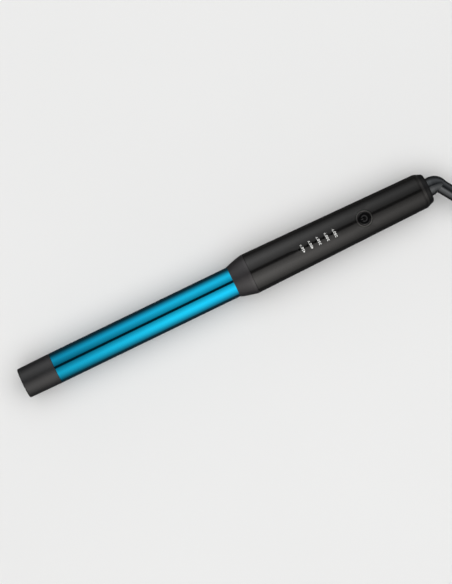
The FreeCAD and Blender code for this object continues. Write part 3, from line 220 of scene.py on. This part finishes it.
class Surface:
    """A material with one Principled shader, and short ways to add textures, sized in millimetres."""

    def __init__(self, name, metallic=0.0, specular=0.5, coat=0.0, coat_roughness=0.1, **inputs):
        self.material = bpy.data.materials.new(name)
        self.material.use_nodes = True
        self.tree = self.material.node_tree
        self.shader = self.tree.nodes["Principled BSDF"]
        self.set("Metallic", metallic)
        self.set("Specular IOR Level", specular)
        self.set("Coat Weight", coat)
        self.set("Coat Roughness", coat_roughness)
        for label, value in inputs.items():
            self.set(label.replace("_", " "), value)
        places = self.tree.nodes.new("ShaderNodeTexCoord")
        self.places = places.outputs["Object"]

    def set(self, label, value):
        self.shader.inputs[label].default_value = value

    def join(self, output, label):
        self.tree.links.new(output, self.shader.inputs[label])

    def add(self, kind, sockets=None, **settings):
        """A new node. Its sockets, by label or number, get another node's output or a plain value."""
        made = self.tree.nodes.new(kind)
        for name, value in settings.items():
            setattr(made, name, value)
        for label, value in (sockets or {}).items():
            if isinstance(value, bpy.types.NodeSocket):
                self.tree.links.new(value, made.inputs[label])
            else:
                made.inputs[label].default_value = value
        return made

    def in_mm(self, stretch=(1, 1, 1)):
        """The object's own coordinates in millimetres, squeezed along an axis where stretch is large."""
        scale = [1000 / along for along in stretch]
        return self.add("ShaderNodeMapping", {"Vector": self.places, "Scale": scale}).outputs["Vector"]

    def noise(self, size, detail=2.0, stretch=(1, 1, 1)):
        """Soft noise whose blotches are about this many millimetres across."""
        sockets = {"Vector": self.in_mm(stretch), "Scale": 1 / size, "Detail": detail}
        return self.add("ShaderNodeTexNoise", sockets).outputs["Fac"]

    def cells(self, size):
        """A random value for each small cell, for flakes and specks."""
        sockets = {"Vector": self.in_mm(), "Scale": 1 / size}
        return self.add("ShaderNodeTexVoronoi", sockets).outputs["Color"]

    def spread(self, value, low, high, start=0.3, end=0.7):
        """Stretches the values from start to end over low to high, which are also its limits."""
        sockets = {"Value": value, "From Min": start, "From Max": end, "To Min": low, "To Max": high}
        return self.add("ShaderNodeMapRange", sockets).outputs["Result"]

    def mix(self, share, first, second):
        """A colour between two, by an output that goes from 0 to 1."""
        sockets = {MIX_SHARE: share, MIX_FIRST: (*first, 1), MIX_SECOND: (*second, 1)}
        return self.add("ShaderNodeMix", sockets, data_type="RGBA").outputs[MIX_RESULT]

    def bump(self, height, depth):
        """A bump this many millimetres deep."""
        sockets = {"Height": height, "Distance": depth * MM, "Strength": 1.0}
        return self.add("ShaderNodeBump", sockets).outputs["Normal"]


def tinted(colour, factor):
    return [min(channel * factor, 1.0) for channel in colour]


def moulded(name, colour, roughness=0.5, grain=0.35, depth=0.006, mottle=0.12, **inputs):
    """Moulded plastic or rubber: an etched grain, slight mottling, and gloss that varies a little."""
    surface = Surface(name, **inputs)
    blotches = surface.spread(surface.noise(18.0, 3.0), 0, 1)
    surface.join(surface.mix(blotches, tinted(colour, 1 - mottle), tinted(colour, 1 + mottle)), "Base Color")
    surface.join(surface.spread(surface.noise(5.0, 4.0), roughness - 0.04, roughness + 0.04), "Roughness")
    surface.join(surface.bump(surface.noise(grain, 2.0), depth), "Normal")
    return surface.material


def brushed(name, colour, roughness=0.3, along=(8, 1, 1), depth=0.004, **inputs):
    """Bare metal with fine drawn lines along one axis, which are a little duller."""
    surface = Surface(name, metallic=1.0, **inputs)
    lines = surface.noise(0.25, 2.0, along)
    surface.join(surface.mix(lines, tinted(colour, 0.88), tinted(colour, 1.08)), "Base Color")
    surface.join(surface.spread(lines, roughness - 0.07, roughness + 0.07), "Roughness")
    surface.join(surface.bump(lines, depth), "Normal")
    return surface.material


def blue_barrel():
    """A mirror-polished tube with a blue titanium coating: faint polishing rings and slight heat tints."""
    surface = Surface("blue_barrel", metallic=1.0, coat=0.1, coat_roughness=0.15)
    tint = surface.spread(surface.noise(40.0, 2.0, (3, 1, 1)), 0, 1)
    surface.join(surface.mix(tint, BARREL_BLUE, BARREL_TEAL), "Base Color")
    rings = surface.noise(0.3, 3.0, (1, 12, 12))
    surface.join(surface.spread(rings, 0.06, 0.10), "Roughness")
    surface.join(surface.bump(rings, 0.0005), "Normal")
    return surface.material


def gunmetal_handle():
    """Satin lacquer over plastic, with fine metal flakes in it."""
    surface = Surface("gunmetal_handle", metallic=0.25, specular=0.55)
    flakes = surface.spread(surface.cells(0.12), 0, 1, 0.2, 0.9)
    surface.join(surface.mix(flakes, (0.0014, 0.00135, 0.0013), (0.0085, 0.008, 0.0077)), "Base Color")
    surface.join(surface.spread(surface.noise(14.0, 4.0), 0.15, 0.19), "Roughness")
    surface.join(surface.bump(surface.noise(0.4, 2.0), 0.003), "Normal")
    return surface.material


def green_board():
    """Solder mask over a faint grid of copper tracks."""
    surface = Surface("green_board")
    grid = {"Vector": surface.in_mm(), "Scale": 0.25, "Mortar Size": 0.03}
    tracks = surface.add("ShaderNodeTexBrick", grid).outputs["Fac"]
    surface.join(surface.mix(tracks, (0.012, 0.11, 0.035), (0.03, 0.2, 0.07)), "Base Color")
    surface.join(surface.spread(surface.noise(3.0), 0.3, 0.42), "Roughness")
    surface.join(surface.bump(tracks, 0.02), "Normal")
    return surface.material


def smoked_lens():
    """The light guide, which looks almost black until its lamp is lit."""
    surface = Surface("lamp_lens", specular=0.12)
    share = surface.spread(surface.noise(0.5), 0, 1)
    surface.join(surface.mix(share, (0.0012, 0.0012, 0.0012), (0.0025, 0.0022, 0.0022)), "Base Color")
    surface.join(surface.spread(surface.noise(1.0), 0.08, 0.16), "Roughness")
    surface.join(surface.bump(surface.noise(0.6), 0.002), "Normal")
    return surface.material


def glass_tube():
    """Clear glass, very slightly uneven."""
    surface = Surface("glass_fuse", Transmission_Weight=1.0)
    share = surface.spread(surface.noise(2.0), 0, 1)
    surface.join(surface.mix(share, (0.85, 0.9, 0.9), (0.95, 0.97, 0.97)), "Base Color")
    surface.join(surface.spread(surface.noise(1.5), 0.02, 0.08), "Roughness")
    return surface.material


# The material of each of the record's slots.
MATERIALS = {
    "blue_barrel": blue_barrel(),
    "gunmetal_handle": gunmetal_handle(),
    "green_board": green_board(),
    "lamp_lens": smoked_lens(),
    "glass_fuse": glass_tube(),
    "charcoal_plastic": moulded("charcoal_plastic", (0.0105, 0.009, 0.0105), 0.39, 0.3, 0.008,
                                specular=0.62),
    "tip_plastic": moulded("tip_plastic", (0.007, 0.007, 0.0078), 0.36, 0.3, 0.006, specular=0.6),
    "dark_trim": moulded("dark_trim", (0.005, 0.005, 0.0055), 0.3, 0.4, 0.003, specular=0.25),
    "gloss_black": moulded("gloss_black", (0.0012, 0.0012, 0.0014), 0.1, 2.5, 0.002, coat=0.3,
                           coat_roughness=0.05),
    "black_rubber": moulded("black_rubber", (0.006, 0.0068, 0.008), 0.14, 0.35, 0.002, specular=1.0,
                            Specular_Tint=(0.9, 0.955, 1.0, 1.0)),
    "cord_rubber": moulded("cord_rubber", (0.017, 0.017, 0.018), 0.5, 0.3, 0.012),
    "natural_nylon": moulded("natural_nylon", (0.72, 0.7, 0.62), 0.45),
    "heat_resin": moulded("heat_resin", (0.24, 0.2, 0.14), 0.55, 0.6, 0.02),
    "white_ceramic": moulded("white_ceramic", (0.82, 0.8, 0.76), 0.6, 0.5, 0.01, 0.05),
    "black_epoxy": moulded("black_epoxy", (0.02, 0.02, 0.021), 0.5, 0.15, 0.01),
    "yellow_film": moulded("yellow_film", (0.7, 0.46, 0.07), 0.25, 1.2, 0.02),
    "can_sleeve": moulded("can_sleeve", (0.02, 0.035, 0.16), 0.3, 1.0, 0.01),
    "fibreglass_sleeve": moulded("fibreglass_sleeve", (0.78, 0.75, 0.66), 0.75, 0.25, 0.05),
    "wire_jacket": moulded("wire_jacket", (0.62, 0.6, 0.55), 0.5),
    "cast_aluminium": brushed("cast_aluminium", (0.62, 0.62, 0.63), 0.42, (12, 1, 1), 0.01),
    "spring_steel": brushed("spring_steel", (0.56, 0.56, 0.55), 0.25),
    "zinc_steel": brushed("zinc_steel", (0.6, 0.61, 0.58), 0.35, (1, 1, 1), 0.008),
    "black_steel": brushed("black_steel", (0.06, 0.06, 0.062), 0.4, (1, 1, 1), 0.008),
    "brass_contact": brushed("brass_contact", (0.78, 0.56, 0.24), 0.28, (1, 8, 8)),
    "nickel_brass": brushed("nickel_brass", (0.72, 0.7, 0.65), 0.22, (8, 1, 1), 0.003),
}

# Pieces that look different from the others of their slot.
OWN_LOOKS = {
    "button_bezel": moulded("bezel_ring", (0.075, 0.073, 0.071), 0.18, 0.4, 0.002, metallic=0.85),
    # The trim ring is a lighter metal than the handle. Its colour is raised further as painted light, to
    # make up for the panel light its sloping face misses.
    "rear_trim_ring": moulded("trim_ring", (0.04, 0.039, 0.038), 0.22, 0.4, 0.002, metallic=0.7),
    "cord_tie": moulded("woven_strap", (0.016, 0.016, 0.017), 0.75, 0.6, 0.06),
}

for part in record["subparts"]:
    piece = nodes[part["node"]].data
    piece.materials.clear()
    piece.materials.append(OWN_LOOKS.get(part["node"], MATERIALS[part["material_slot"]]))
power_cord.data.materials.append(MATERIALS["cord_rubber"])

# ---------------------------------------------------------------- printed marks

INK_PROUD = 0.02 * MM
INK_THICK = 0.015 * MM
TEMPERATURES = ("450", "400", "350", "300", "250")
# A mark's middle, in X from its lamp and in Y from the wand's axis, then its size.
LABEL_STEP = 2.8 * MM
LABEL_MIDDLE = -0.3 * MM
LABEL_TALL = 2.0 * MM
LABEL_LONG = 6.9 * MM
LABEL_GAP = 0.25 * MM
LABEL_BOLD = 0.03 * MM
LABEL_SPACING = 1.04
# How tall the font's capitals are in its size of 1, and the unit is in the digits' height of 1.
CAPITAL_SHARE = 0.7
UNIT_SHARE = 0.72
# The button's sign: its ring's middle radius, line width, and half of its opening.
SIGN_RADIUS = 2.2 * MM
SIGN_LINE = 0.8 * MM
SIGN_GAP = math.radians(38.0)
SIGN_STEPS = 40
# A lamp's pin is found by its points this near its top, and this far from the pin before it.
PIN_TOP = 1.0 * MM
PIN_APART = 2.0 * MM


def lamp_places():
    """X of each lamp's pin, from the light guide's own vertices where they reach the handle's surface."""
    points = [vertex.co for vertex in nodes["light_guide"].data.vertices]
    top = max(point.z for point in points) - PIN_TOP
    places = []
    for x in sorted(point.x for point in points if point.z > top):
        if not places or x - places[-1][-1] > PIN_APART:
            places.append([])
        places[-1].append(x)
    return [(group[0] + group[-1]) / 2 for group in places]


def white_ink():
    """White pad-printing ink, slightly broken where it lies on the lacquer."""
    surface = Surface("white_ink", specular=0.3)
    worn = surface.spread(surface.noise(0.35, 4.0), 0, 1, 0.35, 0.6)
    surface.join(surface.mix(worn, (0.72, 0.72, 0.70), (0.93, 0.93, 0.91)), "Base Color")
    surface.join(surface.spread(surface.noise(0.5), 0.5, 0.62), "Roughness")
    surface.join(surface.bump(surface.noise(0.2), 0.003), "Normal")
    return surface.material


def grey_ink():
    """The button's grey sign, printed under a gloss coat."""
    surface = Surface("grey_ink", coat=0.4)
    worn = surface.spread(surface.noise(0.6, 3.0), 0, 1)
    surface.join(surface.mix(worn, (0.008, 0.008, 0.0085), (0.013, 0.013, 0.0135)), "Base Color")
    surface.join(surface.spread(surface.noise(0.8), 0.28, 0.36), "Roughness")
    surface.join(surface.bump(surface.noise(0.5), 0.002), "Normal")
    return surface.material


def handle_height(x, y):
    """Height of the handle's top at a point, on its round section that tapers towards the rear."""
    share = (x - HANDLE_LOW.x) / (HANDLE_TAPER_END - HANDLE_LOW.x)
    radius = HANDLE_FRONT + (HANDLE_REAR - HANDLE_FRONT) * share
    return AXIS_Z + math.sqrt(radius ** 2 - y ** 2)


def add_piece(name, data, body, material):
    """A new visible piece that rides on a body, with one material."""
    piece = bpy.data.objects.new(name, data)
    bpy.context.scene.collection.objects.link(piece)
    data.materials.clear()
    data.materials.append(material)
    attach(piece, body)


def text_mesh(words, tall):
    """Raised letters as a flat mesh, with their lower left corner at the origin."""
    curve = bpy.data.curves.new("words", "FONT")
    curve.body = words
    curve.size = tall / CAPITAL_SHARE
    curve.space_character = LABEL_SPACING
    curve.extrude = INK_THICK / 2
    curve.offset = LABEL_BOLD
    curve.resolution_u = 4
    holder = bpy.data.objects.new("words", curve)
    bpy.context.scene.collection.objects.link(holder)
    bpy.context.view_layer.update()
    mesh = bpy.data.meshes.new_from_object(holder)
    bpy.data.objects.remove(holder)
    return mesh


def length_of(mesh):
    places = [vertex.co.x for vertex in mesh.vertices]
    return max(places) - min(places)


def label_mesh(digits):
    """The digits, then a smaller unit level with their tops, centred and all made the same length."""
    number, unit = text_mesh(digits, LABEL_TALL), text_mesh("\u00b0F", LABEL_TALL * UNIT_SHARE)
    unit.transform(Matrix.Translation((length_of(number) + LABEL_GAP, LABEL_TALL * (1 - UNIT_SHARE), 0)))
    both = bmesh.new()
    both.from_mesh(number)
    both.from_mesh(unit)
    mesh = bpy.data.meshes.new("label")
    both.to_mesh(mesh)
    both.free()
    length = length_of(mesh)
    stretch = Matrix.Diagonal((LABEL_LONG / length, 1, 1, 1))
    mesh.transform(stretch @ Matrix.Translation((-length / 2, -LABEL_TALL / 2, 0)))
    return mesh


def wrap_on_handle(mesh, x, y):
    """Lays a flat mesh on the handle's top, reading towards +Y with the letters' tops towards the tip."""
    for vertex in mesh.vertices:
        along, up, out = vertex.co
        place = Vector((x - up, y + along, 0))
        place.z = handle_height(place.x, place.y) + INK_PROUD + out
        vertex.co = place


def make_labels():
    material = white_ink()
    for number, (x, words) in enumerate(zip(lamp_places(), TEMPERATURES)):
        mesh = label_mesh(words)
        wrap_on_handle(mesh, x + LABEL_STEP, LABEL_MIDDLE)
        add_piece(f"temperature_mark_{number + 1}", mesh, "wand", material)


def make_power_sign():
    """The button's sign: a ring open towards the tip, with a bar in the opening."""
    mesh = bpy.data.meshes.new("power_sign")
    build = bmesh.new()
    half = SIGN_LINE / 2
    outer, inner = SIGN_RADIUS + half, SIGN_RADIUS - half
    rows = []
    for step in range(SIGN_STEPS + 1):
        angle = math.pi + SIGN_GAP + (2 * math.pi - 2 * SIGN_GAP) * step / SIGN_STEPS
        rows.append([build.verts.new((radius * math.cos(angle), radius * math.sin(angle), 0))
                     for radius in (inner, outer)])
    for before, after in zip(rows, rows[1:]):
        build.faces.new((before[0], before[1], after[1], after[0]))
    corners = [(-outer, -half), (-SIGN_LINE, -half), (-SIGN_LINE, half), (-outer, half)]
    build.faces.new([build.verts.new((x, y, 0)) for x, y in corners])
    solid = bmesh.ops.extrude_face_region(build, geom=build.faces[:])
    lifted = [item for item in solid["geom"] if isinstance(item, bmesh.types.BMVert)]
    bmesh.ops.translate(build, verts=lifted, vec=(0, 0, INK_THICK))
    bmesh.ops.recalc_face_normals(build, faces=build.faces[:])
    build.to_mesh(mesh)
    build.free()
    middle = (BUTTON_LOW + BUTTON_HIGH) / 2
    mesh.transform(Matrix.Translation((middle.x, middle.y, BUTTON_HIGH.z + INK_PROUD / 2)))
    add_piece("power_sign", mesh, "power_button", grey_ink())


make_labels()
make_power_sign()

# ---------------------------------------------------------------- room

FLOOR_HALF = 30.0
PANEL_RADIUS = 0.6
PANEL_HALF_LENGTH = 1.2
PANEL_END = 112.0
PANEL_STEPS = 40
PANEL_COLUMNS = 64
# How bright a panel is along its first edge, how bright at its far ends, and how far its brighter middle
# spreads along X.
PANEL_START = 0.35
PANEL_FAR = 0.35
PANEL_SPREAD = 0.12
# Each panel's name, side, brightness, first angle from the vertical, angle of its brightest line,
# fall-off beyond that line, and colour.
PANELS = [("upper_panel", 1, 1.95, 13.0, 54.0, 36.0, (1.0, 1.0, 1.0)),
          ("lower_panel", -1, 2.75, 4.5, 43.0, 49.0, (1.0, 0.97, 0.94))]
OVERHEAD_STRENGTH = 2.7
OVERHEAD_SPREAD = math.radians(100.0)
# The room's brightness from straight down (0) to straight up (1).
ROOM = [(0.0, 0.07), (0.47, 0.07), (0.48, 0.8), (0.7, 0.3), (0.97, 0.045)]


def make_floor():
    """A pale matt floor that is clear from below, so that the wand's underside can be looked at."""
    corners = [(x * FLOOR_HALF, y * FLOOR_HALF, 0) for x, y in ((-1, -1), (1, -1), (1, 1), (-1, 1))]
    mesh = bpy.data.meshes.new("floor")
    mesh.from_pydata(corners, [], [(0, 1, 2, 3)])
    floor = bpy.data.objects.new("floor", mesh)
    bpy.context.scene.collection.objects.link(floor)
    floor.visible_glossy = False
    surface = Surface("floor", specular=0.2)
    share = surface.spread(surface.noise(400.0, 3.0), 0, 1)
    surface.join(surface.mix(share, (0.79, 0.79, 0.785), (0.81, 0.81, 0.805)), "Base Color")
    surface.set("Roughness", 0.9)
    surface.join(surface.bump(surface.noise(1.5, 3.0), 0.01), "Normal")
    below = surface.add("ShaderNodeNewGeometry").outputs["Backfacing"]
    clear = surface.add("ShaderNodeBsdfTransparent").outputs["BSDF"]
    either = surface.add("ShaderNodeMixShader", {0: below, 1: surface.shader.outputs["BSDF"], 2: clear})
    output = surface.tree.nodes["Material Output"]
    surface.tree.links.new(either.outputs["Shader"], output.inputs["Surface"])
    mesh.materials.append(surface.material)


def panel_glow(name, brightness, colour):
    """A soft panel's light, whose strength varies with its mesh's own glow attribute."""
    material = bpy.data.materials.new(name)
    material.use_nodes = True
    tree = material.node_tree
    tree.nodes.clear()
    layer = tree.nodes.new("ShaderNodeAttribute")
    layer.attribute_name = "glow"
    strength = tree.nodes.new("ShaderNodeMath")
    strength.operation = "MULTIPLY"
    strength.inputs[1].default_value = brightness
    emission = tree.nodes.new("ShaderNodeEmission")
    emission.inputs["Color"].default_value = (*colour, 1)
    output = tree.nodes.new("ShaderNodeOutputMaterial")
    tree.links.new(layer.outputs["Fac"], strength.inputs[0])
    tree.links.new(strength.outputs[0], emission.inputs["Strength"])
    tree.links.new(emission.outputs[0], output.inputs["Surface"])
    return material


def glow_at(angle, first, peak, falloff):
    """How bright a panel is at an angle from the vertical, from 0 to 1."""
    if angle < peak:
        return PANEL_START + (1 - PANEL_START) * (angle - first) / (peak - first)
    return math.exp(-((angle - peak) / falloff) ** 2)


def make_panel(name, side, brightness, first, peak, falloff, colour):
    """A curved soft panel over one side of the wand, mirrored in it, with a slot between the two."""
    points, faces, glow = [], [], []
    for step in range(PANEL_STEPS + 1):
        angle = first + (PANEL_END - first) * step / PANEL_STEPS
        turn = math.radians(angle)
        for column in range(PANEL_COLUMNS + 1):
            x = PANEL_HALF_LENGTH * (2 * column / PANEL_COLUMNS - 1)
            points.append((x, side * PANEL_RADIUS * math.sin(turn), AXIS_Z + PANEL_RADIUS * math.cos(turn)))
            along = PANEL_FAR + (1 - PANEL_FAR) * math.exp(-(x / PANEL_SPREAD) ** 2 / 2)
            glow.append(glow_at(angle, first, peak, falloff) * along)
    row = PANEL_COLUMNS + 1
    for step in range(PANEL_STEPS):
        for column in range(PANEL_COLUMNS):
            corner = step * row + column
            faces.append((corner, corner + 1, corner + row + 1, corner + row))
    mesh = bpy.data.meshes.new(name)
    mesh.from_pydata(points, [], faces)
    layer = mesh.attributes.new("glow", "FLOAT", "POINT")
    layer.data.foreach_set("value", glow)
    mesh.materials.append(panel_glow(name, brightness, colour))
    panel = bpy.data.objects.new(name, mesh)
    bpy.context.scene.collection.objects.link(panel)
    panel.visible_camera = False
    panel.visible_shadow = False
    panel.visible_diffuse = False


def make_overhead():
    """A very soft light from above for the floor and the matt surfaces, which nothing mirrors."""
    data = bpy.data.lights.new("overhead", "SUN")
    data.energy = OVERHEAD_STRENGTH
    data.angle = OVERHEAD_SPREAD
    light = bpy.data.objects.new("overhead", data)
    light.visible_glossy = False
    bpy.context.scene.collection.objects.link(light)


def make_world():
    """The room: dark overhead, pale at the horizon and dark well below it."""
    world = bpy.data.worlds.new("room")
    world.use_nodes = True
    tree = world.node_tree
    places = tree.nodes.new("ShaderNodeTexCoord")
    parts = tree.nodes.new("ShaderNodeSeparateXYZ")
    height = tree.nodes.new("ShaderNodeMapRange")
    height.inputs["From Min"].default_value = -1.0
    ramp = tree.nodes.new("ShaderNodeValToRGB")
    steps = ramp.color_ramp.elements
    while len(steps) < len(ROOM):
        steps.new(1.0)
    for step, (place, brightness) in zip(steps, ROOM):
        step.position = place
        step.color = (brightness, brightness, brightness, 1)
    tree.links.new(places.outputs["Generated"], parts.inputs[0])
    tree.links.new(parts.outputs["Z"], height.inputs["Value"])
    tree.links.new(height.outputs["Result"], ramp.inputs["Fac"])
    tree.links.new(ramp.outputs["Color"], tree.nodes["Background"].inputs["Color"])
    bpy.context.scene.world = world


make_floor()
for panel in PANELS:
    make_panel(*panel)
make_overhead()
make_world()
bpy.context.scene.view_settings.view_transform = "Standard"
